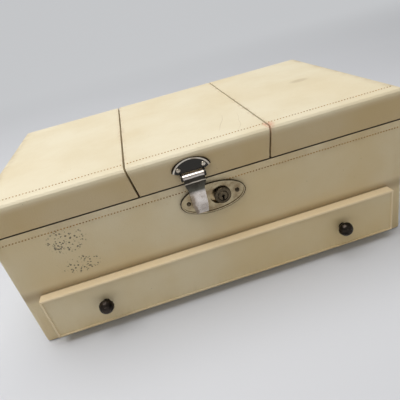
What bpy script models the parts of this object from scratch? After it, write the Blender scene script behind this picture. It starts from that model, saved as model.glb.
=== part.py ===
"""Travel jewelry case: a leather-covered wooden box with a lid in three parts, a drawer and a hasp lock.

The middle of the lid swings up and back on a rear hinge and carries the hasp. The two outer parts of the
lid swing outwards on the side walls. A drawer slides out under the wells. Units are metres, +Z is up, the
front faces -Y, and the origin is the centre of the base pad's underside.
"""

import math

import bmesh
import bpy

for old_object in list(bpy.data.objects):
    bpy.data.objects.remove(old_object, do_unlink=True)

MM = 0.001

# Overall sizes
WIDTH = 320 * MM
DEPTH = 194 * MM
BODY_HEIGHT = 102 * MM
LID_HEIGHT = 23.3 * MM
LID_GAP = 0.9 * MM

# Materials' thicknesses and clearances
SEAT = 0.3 * MM
LEATHER = 1.0 * MM
WALL = 4.2 * MM
FLOOR = 5.0 * MM
SHELF = 3.0 * MM
PANEL = 3.5 * MM
PARTITION = 4.0 * MM
DIVIDER = 3.0 * MM
EDGE_RADIUS = 4.0 * MM
ROUND_STEPS = 3

# Base pad
BASE_PAD = 1.0 * MM
BASE_PAD_INSET = 3.0 * MM

# Seams between the three parts of the lid: the middle is wider at the top
SEAM_GAP = 1.5 * MM
SEAM_BOTTOM = 50.1 * MM
SEAM_TOP = 53.8 * MM

# Hinges
HINGE_SHEET = 0.8 * MM
HINGE_INNER_RADIUS = 1.0 * MM
HINGE_PIN_RADIUS = 0.85 * MM
HINGE_LEAF_REACH = 12.0 * MM
HINGE_KNUCKLES = 5
KNUCKLE_GAP = 0.4 * MM
CENTRE_HINGE_MARGIN = 3.35 * MM
WING_HINGE_MARGIN = 12 * MM

# Drawer
DRAWER_FRONT_MARGIN = 14.2 * MM
DRAWER_FRONT_PROUD = 8.8 * MM
DRAWER_FRONT_GAP = 0.4 * MM
DRAWER_SIDE_OVERLAP = 6.8 * MM
DRAWER_TOP_OVERLAP = 4.5 * MM
DRAWER_LOW_OVERLAP = 0.7 * MM
DRAWER_OPENING_HEIGHT = 33.8 * MM
DRAWER_SIDE_CLEARANCE = 0.8 * MM
DRAWER_TOP_CLEARANCE = 0.9 * MM
DRAWER_BOARD = 4.5 * MM
DRAWER_BOTTOM = 2.5 * MM
DRAWER_BACK_ROOM = 7.2 * MM
DRAWER_BACK_LIP = 1.6 * MM
RUNNER_WIDTH = 8 * MM
RUNNER_HEIGHT = 2.3 * MM
STOP_DEPTH = 27.7 * MM
STOP_LENGTH = 120 * MM
PAD = 3.0 * MM
DRAWER_PAD = 2.0 * MM

# Knobs
KNOB_SPACING = 200 * MM
KNOB_RISE = 20.0 * MM
KNOB_RADIUS = 6.0 * MM
KNOB_STEM_RADIUS = 2.9 * MM
KNOB_REACH = 10.0 * MM
KNOB_SPIGOT_RADIUS = 1.6 * MM
KNOB_HOLE_CLEARANCE = 0.3 * MM

# Wells
ROLL_COUNT = 3
ROLL_WIDTH = 15 * MM
ROLL_HEIGHT = 18 * MM
ROLL_SLOT = 1.2 * MM
DIVIDER_HEIGHT = 30 * MM
PARTITION_DROP = 2.3 * MM
MIRROR_SIDE_MARGIN = 0.55 * MM
MIRROR_END_MARGIN = 12.2 * MM
MIRROR_GLASS = 2.0 * MM
MIRROR_FRAME = 4.0 * MM
MIRROR_FRAME_DROP = 3.2 * MM

# Lock
LOCK_X = 1.8 * MM
LOCK_DROP = 16.0 * MM
LOCK_HALF_WIDTH = 25.5 * MM
LOCK_HALF_HEIGHT = 12.2 * MM
LOCK_PLATE = 1.0 * MM
LOCK_RIM = 0.7 * MM
LOCK_RIM_WIDTH = 1.4 * MM
LOCK_RIVET_OFFSET = 19.0 * MM
RIVET_RADIUS = 0.9 * MM
RIVET_HEAD_RADIUS = 1.7 * MM
RIVET_HEAD = 0.8 * MM
WINDOW_LEFT_REACH = 17.3 * MM
WINDOW_RIGHT_REACH = 16.7 * MM
WINDOW_HALF_HEIGHT = 7.8 * MM
LOCK_CASE_SHEET = 0.8 * MM
BUTTON_OFFSET = 7.1 * MM
BUTTON_RADIUS = 6.5 * MM
BUTTON_PROUD = 2.7 * MM
BUTTON_TRAVEL = 2.5 * MM
PLUG_RADIUS = 3.9 * MM
PLUG_CLEARANCE = 0.2 * MM
PLUG_PROUD = 0.4 * MM
KEYHOLE_RADIUS = 1.2 * MM
KEYHOLE_SLOT_WIDTH = 1.3 * MM
KEYHOLE_SLOT_LENGTH = 3.2 * MM
KEYHOLE_DEPTH = 3.5 * MM
CATCH_SHEET = 1.2 * MM
CATCH_HALF_HEIGHT = 4.0 * MM
CATCH_TAIL = 6.1 * MM
HOOK_WIDTH = 2.0 * MM
HOOK_HALF_HEIGHT = 2.0 * MM
SPRING_SHEET = 0.4 * MM
SPRING_BOW = 1.2 * MM
SPRING_HALF_HEIGHT = 5.5 * MM

# Hasp
HASP_OFFSET = 10.7 * MM
HASP_PIN_RISE = 5.6 * MM
HASP_SHEET = 1.2 * MM
HASP_INNER_RADIUS = 1.2 * MM
HASP_PIN_RADIUS = 1.0 * MM
HASP_BARREL_WIDTH = 15.5 * MM
HASP_WAIST_WIDTH = 12.0 * MM
HASP_TONGUE_WIDTH = 11.4 * MM
HASP_WAIST_DROP = 5.9 * MM
HASP_END_DROP = 7.5 * MM
HASP_END_PROUD = 5.6 * MM
HASP_PLATE_HALF_WIDTH = 14.6 * MM
HASP_PLATE_HEIGHT = 10.4 * MM
HASP_PLATE = 1.0 * MM
HASP_EAR = 1.2 * MM
HASP_RIVET_OFFSET = 9.3 * MM
HASP_RIVET_Z = 3.4 * MM

# Worked-out places
HALF_WIDTH = WIDTH / 2
FRONT = -DEPTH / 2
BACK = DEPTH / 2
SKIN = LEATHER + SEAT
INNER = SKIN + WALL
FLOOR_LOW = BASE_PAD + SEAT
FLOOR_TOP = FLOOR_LOW + FLOOR
BOARD_TOP = BODY_HEIGHT - SKIN
LID_LOW = BODY_HEIGHT + LID_GAP
LID_TOP = LID_LOW + LID_HEIGHT
SHELL_TOP = LID_TOP - SKIN
CEILING = SHELL_TOP - PANEL
DRAWER_OPENING_LOW = FLOOR_TOP + SEAT + RUNNER_HEIGHT
DRAWER_FRONT_LOW = DRAWER_OPENING_LOW - DRAWER_LOW_OVERLAP
DRAWER_FRONT_HALF = HALF_WIDTH - DRAWER_FRONT_MARGIN
OPENING_HALF = DRAWER_FRONT_HALF - DRAWER_SIDE_OVERLAP
OPENING_TOP = DRAWER_OPENING_LOW + DRAWER_OPENING_HEIGHT
DRAWER_SIDE_TOP = OPENING_TOP - DRAWER_TOP_CLEARANCE
DRAWER_BACK_TOP = DRAWER_SIDE_TOP + DRAWER_BACK_LIP
SHELF_LOW = DRAWER_BACK_TOP + 2 * SEAT
SHELF_TOP = SHELF_LOW + SHELF
WELL_FLOOR = SHELF_TOP + SEAT + PAD
HINGE_RADIUS = HINGE_INNER_RADIUS + HINGE_SHEET
HINGE_OUT = SEAT + HINGE_RADIUS
HINGE_Z = BODY_HEIGHT + LID_GAP / 2
CENTRE_HINGE_LENGTH = 2 * SEAM_BOTTOM - SEAM_GAP - 2 * CENTRE_HINGE_MARGIN
WING_HINGE_LENGTH = DEPTH - 2 * WING_HINGE_MARGIN
LOCK_FACE = FRONT - SEAT - LOCK_PLATE
LOCK_Z = BODY_HEIGHT - LOCK_DROP
WINDOW_LEFT = LOCK_X - WINDOW_LEFT_REACH
WINDOW_RIGHT = LOCK_X + WINDOW_RIGHT_REACH
BUTTON_X = LOCK_X + BUTTON_OFFSET
HASP_X = LOCK_X - HASP_OFFSET
HASP_PIN_Z = LID_LOW + HASP_PIN_RISE
HASP_WAIST_Z = LID_LOW - HASP_WAIST_DROP
HASP_END_Z = LOCK_Z - HASP_END_DROP
HASP_OUTER_RADIUS = HASP_INNER_RADIUS + HASP_SHEET
HASP_PIN_Y = FRONT - 0.8 * MM - HASP_OUTER_RADIUS


# Materials

def material(name, colour, roughness, metallic=0.0):
    """A Principled material."""
    made = bpy.data.materials.new(name)
    made.use_nodes = True
    shader = made.node_tree.nodes["Principled BSDF"]
    shader.inputs["Base Color"].default_value = (*colour, 1.0)
    shader.inputs["Roughness"].default_value = roughness
    shader.inputs["Metallic"].default_value = metallic
    return made


CREAM = material("cream_leather", (0.80, 0.72, 0.52), 0.5)
PLY = material("plywood", (0.55, 0.38, 0.22), 0.7)
VELVET = material("velvet", (0.55, 0.42, 0.24), 0.95)
FELT = material("felt", (0.06, 0.05, 0.05), 0.95)
NICKEL = material("nickel", (0.50, 0.46, 0.38), 0.25, 1.0)
BRASS = material("brass", (0.60, 0.45, 0.22), 0.35, 1.0)
BRONZE = material("bronze", (0.06, 0.05, 0.04), 0.4, 1.0)
STEEL = material("steel", (0.45, 0.45, 0.45), 0.4, 1.0)
GLASS = material("mirror_glass", (0.85, 0.87, 0.88), 0.03, 1.0)


# Shapes

SIDES = {
    "left": (0, 2, 4, 6),
    "right": (1, 3, 5, 7),
    "front": (0, 1, 4, 5),
    "back": (2, 3, 6, 7),
    "bottom": (0, 1, 2, 3),
    "top": (4, 5, 6, 7),
}


def add_object(name, mesh_maker, look, centre, parent=None):
    """A named object from a bmesh, placed at a point of the model's frame under an unturned parent."""
    bmesh.ops.recalc_face_normals(mesh_maker, faces=mesh_maker.faces)
    mesh = bpy.data.meshes.new(name)
    mesh_maker.to_mesh(mesh)
    mesh_maker.free()
    made = bpy.data.objects.new(name, mesh)
    bpy.context.collection.objects.link(made)
    made.location = centre
    if parent:
        made.parent = parent
        made.location -= parent.location
    if look:
        mesh.materials.append(look)
    return made


def pivot(name, place):
    """An empty on a joint's axis."""
    made = bpy.data.objects.new(name, None)
    bpy.context.collection.objects.link(made)
    made.location = place
    made.empty_display_size = 10 * MM
    return made


def tapered_block(name, bottom_x, top_x, y, z, look, parent=None, rounded=(), radius=0.0):
    """A block whose left and right sides may slant; rounded names pairs of sides, such as front and top."""
    middle = (sum(bottom_x) / 2, sum(y) / 2, sum(z) / 2)
    maker = bmesh.new()
    corners = []
    for across, height in ((bottom_x, z[0]), (top_x, z[1])):
        for depth in y:
            for width in across:
                place = (width - middle[0], depth - middle[1], height - middle[2])
                corners.append(maker.verts.new(place))
    for side in SIDES.values():
        first, second, third, fourth = (corners[index] for index in side)
        maker.faces.new((first, second, fourth, third))
    bmesh.ops.recalc_face_normals(maker, faces=maker.faces)
    if radius > 0:
        edges = []
        for first_side, second_side in rounded:
            shared = set(SIDES[first_side]) & set(SIDES[second_side])
            edges.append(maker.edges.get([corners[index] for index in sorted(shared)]))
        bmesh.ops.bevel(
            maker,
            geom=edges,
            offset=radius,
            offset_type="OFFSET",
            segments=ROUND_STEPS,
            profile=0.5,
            affect="EDGES",
        )
    return add_object(name, maker, look, middle, parent)


def block(name, x, y, z, look, parent=None, rounded=(), radius=0.0):
    """A straight block between two x, two y and two z values."""
    return tapered_block(name, x, x, y, z, look, parent, rounded, radius)


def extruded(name, outline, low, high, look, place, parent=None, along="Y"):
    """An outline of (a, b) points carried from low to high: in XZ along Y, in YZ along X, in XY along Z."""
    def point(a, b, c):
        return {"Y": (a, c, b), "X": (c, a, b), "Z": (a, b, c)}[along]

    maker = bmesh.new()
    near = [maker.verts.new(point(a, b, low)) for a, b in outline]
    far = [maker.verts.new(point(a, b, high)) for a, b in outline]
    count = len(outline)
    maker.faces.new(near)
    maker.faces.new(far)
    for index in range(count):
        following = (index + 1) % count
        maker.faces.new((near[index], near[following], far[following], far[index]))
    return add_object(name, maker, look, place, parent)


def turned(name, profile, segments, look, place, parent=None):
    """A solid turned about Y from (radius, y) points; a radius of 0 closes an end."""
    maker = bmesh.new()
    rings = []
    for radius, along in profile:
        if radius == 0:
            rings.append([maker.verts.new((0, along, 0))])
            continue
        angles = [math.tau * step / segments for step in range(segments)]
        rings.append([maker.verts.new((radius * math.cos(a), along, radius * math.sin(a))) for a in angles])
    for ring, following in zip(rings, rings[1:]):
        for step in range(segments):
            after = (step + 1) % segments
            if len(ring) == 1:
                maker.faces.new((ring[0], following[step], following[after]))
            elif len(following) == 1:
                maker.faces.new((ring[step], following[0], ring[after]))
            else:
                maker.faces.new((ring[step], following[step], following[after], ring[after]))
    made = add_object(name, maker, look, place, parent)
    made.data.shade_smooth()
    made.data.set_sharp_from_angle(angle=math.radians(40))
    return made


def cylinder_profile(radius, low, high):
    """The turned outline of a plain cylinder."""
    return [(0, low), (radius, low), (radius, high), (0, high)]


def ellipse(half_width, half_height, points=40):
    """Points round an ellipse."""
    angles = [math.tau * step / points for step in range(points)]
    return [(half_width * math.cos(a), half_height * math.sin(a)) for a in angles]


def arc(centre, radius, start, end, steps):
    """Points on an arc, from one angle to another in degrees, both included."""
    angles = [math.radians(start + (end - start) * step / steps) for step in range(steps + 1)]
    return [(centre[0] + radius * math.cos(a), centre[1] + radius * math.sin(a)) for a in angles]


def combine(target, other, operation):
    """Cuts, unites or intersects the target with a hidden helper object."""
    other.hide_render = True
    other.display_type = "WIRE"
    step = target.modifiers.new(operation.lower(), "BOOLEAN")
    step.operation = operation
    step.object = other
    step.solver = "EXACT"


def cut(target, *cutters):
    """Takes each cutter out of the target."""
    for cutter in cutters:
        combine(target, cutter, "DIFFERENCE")


def mirrored(sign, low, high):
    """An x range on one side, in rising order: sign -1 is the left, 1 the right."""
    return tuple(sorted((sign * low, sign * high)))


HANDS = (("left", -1), ("right", 1))


# The box

def lock_window(name):
    """The window for the lock, through the leather and the front board."""
    z = (LOCK_Z - WINDOW_HALF_HEIGHT, LOCK_Z + WINDOW_HALF_HEIGHT)
    return block(name, (WINDOW_LEFT, WINDOW_RIGHT), (FRONT - INNER, FRONT + 2 * INNER), z, None)


def drawer_opening(name):
    """The drawer's opening, through the leather and the front board."""
    z = (DRAWER_OPENING_LOW, OPENING_TOP)
    return block(name, (-OPENING_HALF, OPENING_HALF), (FRONT - INNER, FRONT + 2 * INNER), z, None)


def rivet_holes(target, rivet_x, rivet_z, name):
    """Holes for a pair of rivets through one piece."""
    for index, x in enumerate(rivet_x):
        profile = cylinder_profile(RIVET_RADIUS + PLUG_CLEARANCE, -2 * INNER, 2 * INNER)
        cut(target, turned(f"{name}_{index}", profile, 12, None, (x, FRONT, rivet_z)))


LOCK_RIVETS = (LOCK_X - LOCK_RIVET_OFFSET, LOCK_X + LOCK_RIVET_OFFSET)
VERTICAL_EDGES = (("front", "left"), ("front", "right"), ("back", "left"), ("back", "right"))


def make_base():
    """The felt pad that the case stands on, and the floor above it."""
    inset = BASE_PAD_INSET
    x = (-HALF_WIDTH + inset, HALF_WIDTH - inset)
    block("base_pad", x, (FRONT + inset, BACK - inset), (0, BASE_PAD), FELT)
    inner = INNER + SEAT
    x = (-HALF_WIDTH + inner, HALF_WIDTH - inner)
    block("case_floor", x, (FRONT + inner, BACK - inner), (FLOOR_LOW, FLOOR_TOP), PLY)


def make_walls():
    """The four wooden walls; the front one has the drawer's opening and the lock's window."""
    height = (FLOOR_LOW, BOARD_TOP)
    for hand, sign in HANDS:
        x = mirrored(sign, HALF_WIDTH - INNER, HALF_WIDTH - SKIN)
        corners = (("front", hand), ("back", hand))
        y = (FRONT + SKIN, BACK - SKIN)
        block(f"{hand}_board", x, y, height, PLY, None, corners, EDGE_RADIUS - SKIN)
    x = (-HALF_WIDTH + INNER + SEAT, HALF_WIDTH - INNER - SEAT)
    block("back_board", x, (BACK - INNER, BACK - SKIN), height, PLY)
    front = block("front_board", x, (FRONT + SKIN, FRONT + INNER), height, PLY)
    cut(front, drawer_opening("front_board_opening"), lock_window("front_board_window"))
    rivet_holes(front, LOCK_RIVETS, LOCK_Z, "front_board_rivet_hole")


def make_case_cover():
    """The leather round the box, turned in over the rim."""
    outer_x = (-HALF_WIDTH, HALF_WIDTH)
    cover = block("case_cover", outer_x, (FRONT, BACK), (FLOOR_LOW, BODY_HEIGHT), CREAM, None,
                  VERTICAL_EDGES, EDGE_RADIUS)
    x = (-HALF_WIDTH + LEATHER, HALF_WIDTH - LEATHER)
    y = (FRONT + LEATHER, BACK - LEATHER)
    cut(cover, block("case_cover_room", x, y, (-INNER, BODY_HEIGHT - LEATHER), None, None,
                     VERTICAL_EDGES, EDGE_RADIUS - LEATHER))
    x = (-HALF_WIDTH + INNER, HALF_WIDTH - INNER)
    cut(cover, block("case_cover_mouth", x, (FRONT + INNER, BACK - INNER), (0, LID_TOP), None))
    cut(cover, drawer_opening("case_cover_opening"), lock_window("case_cover_window"))
    rivet_holes(cover, LOCK_RIVETS, LOCK_Z, "case_cover_rivet_hole")


def make_wells():
    """The shelf over the drawer, two partitions, the wells' pads, two dividers and the ring rolls."""
    edge = HALF_WIDTH - INNER - SEAT
    y = (FRONT + INNER + SEAT, BACK - INNER - SEAT)
    block("middle_shelf", (-edge, edge), y, (SHELF_LOW, SHELF_TOP), PLY)
    partition_z = (SHELF_TOP + SEAT, BODY_HEIGHT - PARTITION_DROP)
    pad_z = (SHELF_TOP + SEAT, WELL_FLOOR)
    near = SEAM_BOTTOM - PARTITION / 2
    far = SEAM_BOTTOM + PARTITION / 2
    for hand, sign in HANDS:
        block(f"{hand}_partition", mirrored(sign, near, far), y, partition_z, VELVET)
        block(f"{hand}_well_pad", mirrored(sign, far + SEAT, edge), y, pad_z, VELVET)
    block("centre_well_pad", (-near + SEAT, near - SEAT), y, pad_z, VELVET)
    divider_z = (WELL_FLOOR + SEAT, WELL_FLOOR + SEAT + DIVIDER_HEIGHT)
    half = DIVIDER / 2
    block("left_divider", mirrored(-1, far + SEAT, edge), (-half, half), divider_z, VELVET)
    block("centre_divider", (-near + SEAT, near - SEAT), (-half, half), divider_z, VELVET)
    roll_z = (WELL_FLOOR + SEAT, WELL_FLOOR + SEAT + ROLL_HEIGHT)
    for index in range(ROLL_COUNT):
        back = -half - ROLL_SLOT - index * (ROLL_WIDTH + ROLL_SLOT)
        block(f"ring_roll_{index + 1}", (-near + 2 * SEAT, near - 2 * SEAT), (back - ROLL_WIDTH, back),
              roll_z, VELVET, None, (("front", "top"), ("back", "top")), ROLL_WIDTH * 0.3)


# Hinges

def leaf_outline(direction):
    """A rolled knuckle and its tab, seen along the hinge; direction 1 is the lid's leaf, -1 the case's."""
    outside = arc((0, 0), HINGE_RADIUS, 180, 480, 14)
    inside = arc((0, 0), HINGE_INNER_RADIUS, 480, 180, 10)
    tab = HINGE_RADIUS + 3 * SEAT
    outline = outside + inside + [(-HINGE_INNER_RADIUS, tab), (-HINGE_RADIUS, tab)]
    return [(y, z * direction) for y, z in outline]


def hinge_leaf(name, length, place, turn, direction, parent=None):
    """One leaf of a piano hinge along its own X, with the axis at its origin and its back towards -Y."""
    low = HINGE_RADIUS + 2 * SEAT
    z = tuple(sorted((direction * low, direction * HINGE_LEAF_REACH)))
    leaf = block(name, (-length / 2, length / 2), (-HINGE_RADIUS, -HINGE_INNER_RADIUS), z, NICKEL)
    for vertex in leaf.data.vertices:
        vertex.co += leaf.location
    leaf.location = place
    if parent:
        leaf.parent = parent
        leaf.location -= parent.location
    leaf.rotation_euler.z = turn
    pitch = length / HINGE_KNUCKLES
    for index in range(HINGE_KNUCKLES):
        if index % 2 == (0 if direction < 0 else 1):
            start = -length / 2 + index * pitch + KNUCKLE_GAP / 2
            knuckle = extruded(f"{name}_knuckle_{index}", leaf_outline(direction), start,
                               start + pitch - KNUCKLE_GAP, None, place, None, "X")
            knuckle.rotation_euler.z = turn
            combine(leaf, knuckle, "UNION")


def hinge_pin(name, length, place, turn):
    """The wire that the knuckles turn on."""
    pin = turned(name, cylinder_profile(HINGE_PIN_RADIUS, -length / 2, length / 2), 12, STEEL, place)
    pin.rotation_euler.z = turn + math.pi / 2


REAR_AXIS = (0, BACK + HINGE_OUT, HINGE_Z)
SIDE_AXES = {hand: (sign * (HALF_WIDTH + HINGE_OUT), 0, HINGE_Z) for hand, sign in HANDS}


# The lid

def lid_parts(name, bottom_x, top_x, rounded, parent):
    """The leather cover and the wooden shell of one part of the lid, both open underneath."""
    def layer(piece, inset, top, low, radius, look):
        def across(height):
            share = (height - LID_LOW) / LID_HEIGHT
            left, right = (base + (upper - base) * share for base, upper in zip(bottom_x, top_x))
            return left + inset, right - inset

        y = (FRONT + inset, BACK - inset)
        carrier = parent if look else None
        return tapered_block(piece, across(low), across(top), y, (low, top), look, carrier, rounded, radius)

    cover = layer(f"{name}_cover", 0, LID_TOP, LID_LOW, EDGE_RADIUS, CREAM)
    cut(cover, layer(f"{name}_cover_room", LEATHER, LID_TOP - LEATHER, LID_LOW - INNER,
                     EDGE_RADIUS - LEATHER, None))
    shell = layer(f"{name}_shell", SKIN, SHELL_TOP, LID_LOW, EDGE_RADIUS - SKIN, PLY)
    cut(shell, layer(f"{name}_shell_room", INNER, CEILING, LID_LOW - INNER, 0, None))
    return cover, shell


def make_centre_lid():
    """The middle of the lid, with its hinge leaf and mirror."""
    axis = pivot("centre_lid_axis", REAR_AXIS)
    bottom = SEAM_BOTTOM - SEAM_GAP / 2
    top = SEAM_TOP - SEAM_GAP / 2
    rounded = (("front", "top"), ("back", "top"))
    cover, shell = lid_parts("centre_lid", (-bottom, bottom), (-top, top), rounded, axis)
    rivet_z = HASP_PLATE_LOW + HASP_RIVET_Z
    rivet_holes(cover, HASP_RIVETS, rivet_z, "centre_cover_rivet_hole")
    rivet_holes(shell, HASP_RIVETS, rivet_z, "centre_shell_rivet_hole")
    hinge_leaf("centre_lid_leaf", CENTRE_HINGE_LENGTH, REAR_AXIS, 0, 1, axis)

    half_x = bottom - INNER - MIRROR_SIDE_MARGIN - MIRROR_FRAME - SEAT
    half_y = BACK - INNER - MIRROR_END_MARGIN - MIRROR_FRAME - SEAT
    glass_top = CEILING - SEAT
    block("mirror", (-half_x, half_x), (-half_y, half_y), (glass_top - MIRROR_GLASS, glass_top), GLASS, axis)
    outer_x = half_x + SEAT + MIRROR_FRAME
    outer_y = half_y + SEAT + MIRROR_FRAME
    frame = block("mirror_frame", (-outer_x, outer_x), (-outer_y, outer_y),
                  (glass_top - MIRROR_FRAME_DROP, glass_top), BRASS, axis)
    room_x = half_x + SEAT
    room_y = half_y + SEAT
    room_low = glass_top - MIRROR_GLASS - SEAT
    cut(frame, block("mirror_room", (-room_x, room_x), (-room_y, room_y), (room_low, LID_TOP), None))
    lip_x = half_x - SEAT * 4
    lip_y = half_y - SEAT * 4
    cut(frame, block("mirror_view", (-lip_x, lip_x), (-lip_y, lip_y), (LID_LOW, LID_TOP), None))
    return axis


def make_wings():
    """The two outer parts of the lid."""
    for hand, sign in HANDS:
        axis = pivot(f"{hand}_lid_axis", SIDE_AXES[hand])
        bottom = mirrored(sign, SEAM_BOTTOM + SEAM_GAP / 2, HALF_WIDTH)
        top = mirrored(sign, SEAM_TOP + SEAM_GAP / 2, HALF_WIDTH)
        rounded = (("front", "top"), ("back", "top"), (hand, "top"), ("front", hand), ("back", hand))
        lid_parts(f"{hand}_lid", bottom, top, rounded, axis)
        hinge_leaf(f"{hand}_lid_leaf", WING_HINGE_LENGTH, SIDE_AXES[hand], -sign * math.pi / 2, 1, axis)


def make_case_leaves():
    """The case's own hinge leaves and the three pins."""
    hinge_leaf("rear_case_leaf", CENTRE_HINGE_LENGTH, REAR_AXIS, 0, -1)
    hinge_pin("rear_hinge_pin", CENTRE_HINGE_LENGTH, REAR_AXIS, 0)
    for hand, sign in HANDS:
        turn = -sign * math.pi / 2
        hinge_leaf(f"{hand}_case_leaf", WING_HINGE_LENGTH, SIDE_AXES[hand], turn, -1)
        hinge_pin(f"{hand}_hinge_pin", WING_HINGE_LENGTH, SIDE_AXES[hand], turn)


# The lock

def make_rivets(names, rivet_x, rivet_z, face, tail, look, parent=None):
    """A pair of domed rivets with their heads on a plate."""
    for name, x in zip(names, rivet_x):
        head = [(RIVET_HEAD_RADIUS * math.cos(a), -RIVET_HEAD * math.sin(a))
                for a in (math.radians(step) for step in (60, 30, 0))]
        shank = [(RIVET_RADIUS, 0), (RIVET_RADIUS, tail - face), (0, tail - face)]
        profile = [(0, -RIVET_HEAD)] + head + shank
        turned(name, profile, 12, look, (x, face - SEAT, rivet_z), parent)


def obround(half_height, left, right, steps=10):
    """A slot's outline with round ends whose centres are at left and right."""
    return arc((right, 0), half_height, -90, 90, steps) + arc((left, 0), half_height, 90, 270, steps)


def make_lock_plate():
    """The oval plate with its raised rim, the button's slot and the catch's slot, and its two rivets."""
    place = (LOCK_X, 0, LOCK_Z)
    plate = extruded("lock_plate", ellipse(LOCK_HALF_WIDTH, LOCK_HALF_HEIGHT), LOCK_FACE - LOCK_RIM,
                     FRONT - SEAT, NICKEL, place)
    inner = ellipse(LOCK_HALF_WIDTH - LOCK_RIM_WIDTH, LOCK_HALF_HEIGHT - LOCK_RIM_WIDTH)
    cut(plate, extruded("lock_plate_field", inner, LOCK_FACE - 2 * LOCK_RIM, LOCK_FACE, None, place))
    slot = obround(BUTTON_RADIUS + SEAT, -BUTTON_TRAVEL, 0)
    cut(plate, extruded("lock_plate_slot", slot, FRONT - INNER, FRONT + INNER, None, (BUTTON_X, 0, LOCK_Z)))
    hook_x = (HOOK_LEFT - BUTTON_TRAVEL - SEAT, HOOK_LEFT + HOOK_WIDTH + SEAT)
    hook_z = (LOCK_Z - HOOK_HALF_HEIGHT - SEAT, LOCK_Z + HOOK_HALF_HEIGHT + SEAT)
    cut(plate, block("lock_plate_hook_slot", hook_x, (FRONT - INNER, FRONT + INNER), hook_z, None))
    rivet_holes(plate, LOCK_RIVETS, LOCK_Z, "lock_plate_rivet_hole")
    names = ("left_lock_rivet", "right_lock_rivet")
    make_rivets(names, LOCK_RIVETS, LOCK_Z, LOCK_FACE, FRONT + INNER, BRASS)


CASE_X = (WINDOW_LEFT + SEAT, WINDOW_RIGHT - SEAT)
CASE_HALF_HEIGHT = WINDOW_HALF_HEIGHT - SEAT
CASE_FRONT = FRONT + SEAT
CASE_BACK = FRONT + INNER
CATCH_FRONT = FRONT + SEAT + LOCK_CASE_SHEET
CATCH_RIGHT = BUTTON_X + CATCH_TAIL
HOOK_LEFT = CASE_X[0] + LOCK_CASE_SHEET + SPRING_SHEET + SPRING_BOW + 4 * SEAT + BUTTON_TRAVEL


def make_lock_case():
    """The tray let into the front board, and the leaf spring that sends the catch back."""
    z = (LOCK_Z - CASE_HALF_HEIGHT, LOCK_Z + CASE_HALF_HEIGHT)
    tray = block("lock_case", CASE_X, (CASE_FRONT, CASE_BACK), z, STEEL)
    sheet = LOCK_CASE_SHEET
    room_x = (CASE_X[0] + sheet, CASE_X[1] - sheet)
    room_z = (z[0] + sheet, z[1] - sheet)
    cut(tray, block("lock_case_room", room_x, (FRONT - INNER, CASE_BACK - sheet), room_z, None))
    bow_radius = (SPRING_HALF_HEIGHT ** 2 + SPRING_BOW ** 2) / (2 * SPRING_BOW)
    reach = math.degrees(math.asin(SPRING_HALF_HEIGHT / bow_radius))
    back_x = room_x[0] + SEAT + SPRING_SHEET + SPRING_BOW - bow_radius
    outer = arc((back_x, LOCK_Z), bow_radius, -reach, reach, 8)
    inner = arc((back_x, LOCK_Z), bow_radius - SPRING_SHEET, reach, -reach, 8)
    extruded("lock_spring", outer + inner, CATCH_FRONT, CATCH_FRONT + CATCH_SHEET, STEEL, (0, 0, 0))


def make_button():
    """The sliding button, its catch, and the key plug that turns in it."""
    axis = pivot("lock_button_axis", (BUTTON_X, FRONT, LOCK_Z))
    place = (BUTTON_X, 0, LOCK_Z)
    button_back = CATCH_FRONT - SEAT
    button_front = LOCK_FACE - BUTTON_PROUD
    edge = 2 * SEAT
    profile = [(0, button_front), (BUTTON_RADIUS - edge, button_front), (BUTTON_RADIUS, button_front + edge),
               (BUTTON_RADIUS, button_back), (0, button_back)]
    button = turned("lock_button", profile, 28, NICKEL, place, axis)
    bore = cylinder_profile(PLUG_RADIUS + PLUG_CLEARANCE, button_front - INNER, button_back + INNER)
    cut(button, turned("lock_button_bore", bore, 24, None, place))

    hook_front = LOCK_FACE + SEAT
    catch_back = CATCH_FRONT + CATCH_SHEET
    outline = [(HOOK_LEFT, hook_front), (HOOK_LEFT + HOOK_WIDTH, hook_front),
               (HOOK_LEFT + HOOK_WIDTH, CATCH_FRONT), (CATCH_RIGHT, CATCH_FRONT),
               (CATCH_RIGHT, catch_back), (HOOK_LEFT, catch_back)]
    catch = extruded("lock_catch", outline, -CATCH_HALF_HEIGHT, CATCH_HALF_HEIGHT, STEEL, (0, 0, LOCK_Z),
                     axis, "Z")
    for side, sign in (("under", -1), ("over", 1)):
        edge_z = sorted((LOCK_Z + sign * HOOK_HALF_HEIGHT, LOCK_Z + sign * 2 * CATCH_HALF_HEIGHT))
        cut(catch, block(f"hook_{side}", (HOOK_LEFT - INNER, HOOK_LEFT + HOOK_WIDTH + SEAT),
                         (hook_front - INNER, CATCH_FRONT), edge_z, None))

    plug_axis = pivot("key_plug_axis", place)
    plug_front = button_front - PLUG_PROUD
    profile = [(0, plug_front), (PLUG_RADIUS - edge, plug_front), (PLUG_RADIUS, plug_front + edge),
               (PLUG_RADIUS, button_back), (0, button_back)]
    plug = turned("key_plug", profile, 20, BRASS, place, plug_axis)
    half_slot = KEYHOLE_SLOT_WIDTH / 2
    start = math.degrees(math.asin(half_slot / KEYHOLE_RADIUS)) - 90
    keyhole = arc((0, 0), KEYHOLE_RADIUS, start, 180 - start, 12)
    keyhole += [(-half_slot, -KEYHOLE_SLOT_LENGTH), (half_slot, -KEYHOLE_SLOT_LENGTH)]
    cut(plug, extruded("keyhole", keyhole, plug_front - INNER, plug_front + KEYHOLE_DEPTH, None, place))


# The hasp

HASP_PLATE_LOW = HASP_PIN_Z + HASP_OUTER_RADIUS + 0.2 * MM
HASP_RIVETS = (HASP_X - HASP_RIVET_OFFSET, HASP_X + HASP_RIVET_OFFSET)


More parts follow.
